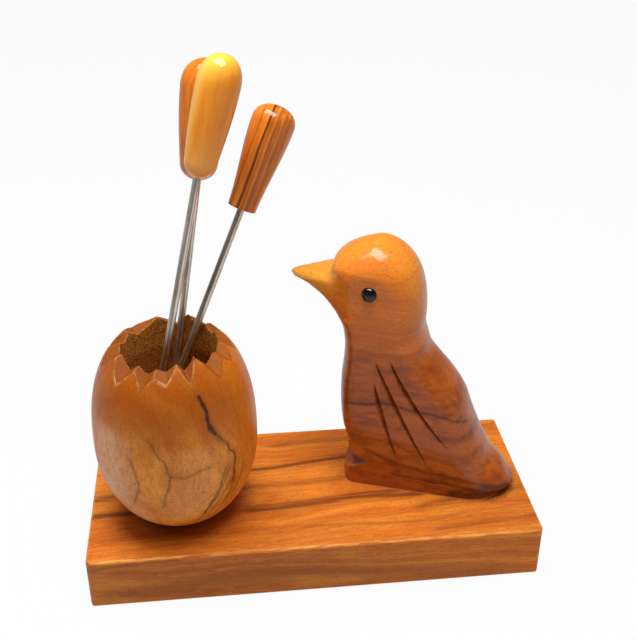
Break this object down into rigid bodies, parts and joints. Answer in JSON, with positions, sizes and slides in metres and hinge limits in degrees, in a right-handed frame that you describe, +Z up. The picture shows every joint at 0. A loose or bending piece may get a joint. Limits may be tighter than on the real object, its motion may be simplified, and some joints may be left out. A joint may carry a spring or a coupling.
{
  "type": "snail fork holder",
  "caption": "Carved wooden chick and an egg-shaped cup with a broken rim on a plain board; the cup holds slim steel forks with turned wooden handles.",
  "frame": {"origin": "centre of the board's underside, where the object stands", "axes": "+X along the board, from the egg cup to the chick; +Y towards the back of the board, away from the side that shows the chick's left; +Z up"},
  "size_m": [0.14, 0.06, 0.1582],
  "materials": {
    "board_wood": "oiled olive wood, long brown grain, satin",
    "egg_wood": "turned olive wood with a dark knot streak, polished outside and rough in the hollow",
    "chick_wood": "carved and sanded reddish olive wood, satin varnish",
    "bead": "glossy black",
    "screw_steel": "zinc plated",
    "pale_wood": "pale yellow wood, glossy varnish",
    "brown_wood": "reddish brown wood, varnished",
    "striped_wood": "olive wood with dark heartwood stripes, varnished",
    "fork_steel": "drawn steel wire, satin"
  },
  "bodies": {
    "stand": {"base_board": "board_wood", "egg_cup": "egg_wood", "chick_body": "chick_wood", "left_eye_bead": "bead", "right_eye_bead": "bead", "egg_cup_screw": "screw_steel", "chick_front_screw": "screw_steel", "chick_rear_screw": "screw_steel"},
    "pale_fork": {"pale_fork_handle": "pale_wood", "pale_fork_rod": "fork_steel"},
    "brown_fork": {"brown_fork_handle": "brown_wood", "brown_fork_rod": "fork_steel"},
    "striped_fork": {"striped_fork_handle": "striped_wood", "striped_fork_rod": "fork_steel"}
  },
  "joints": [
    {"name": "pale_fork_lift", "type": "slide", "parent": "stand", "child": "pale_fork", "axis": [0.2232, 0.1364, 0.9652], "range_m": [0, 0.14]},
    {"name": "brown_fork_lift", "type": "slide", "parent": "stand", "child": "brown_fork", "axis": [0.1669, 0.1521, 0.9742], "range_m": [0, 0.14]},
    {"name": "striped_fork_lift", "type": "slide", "parent": "stand", "child": "striped_fork", "axis": [0.3952, 0.2123, 0.8937], "range_m": [0, 0.145]}
  ]
}
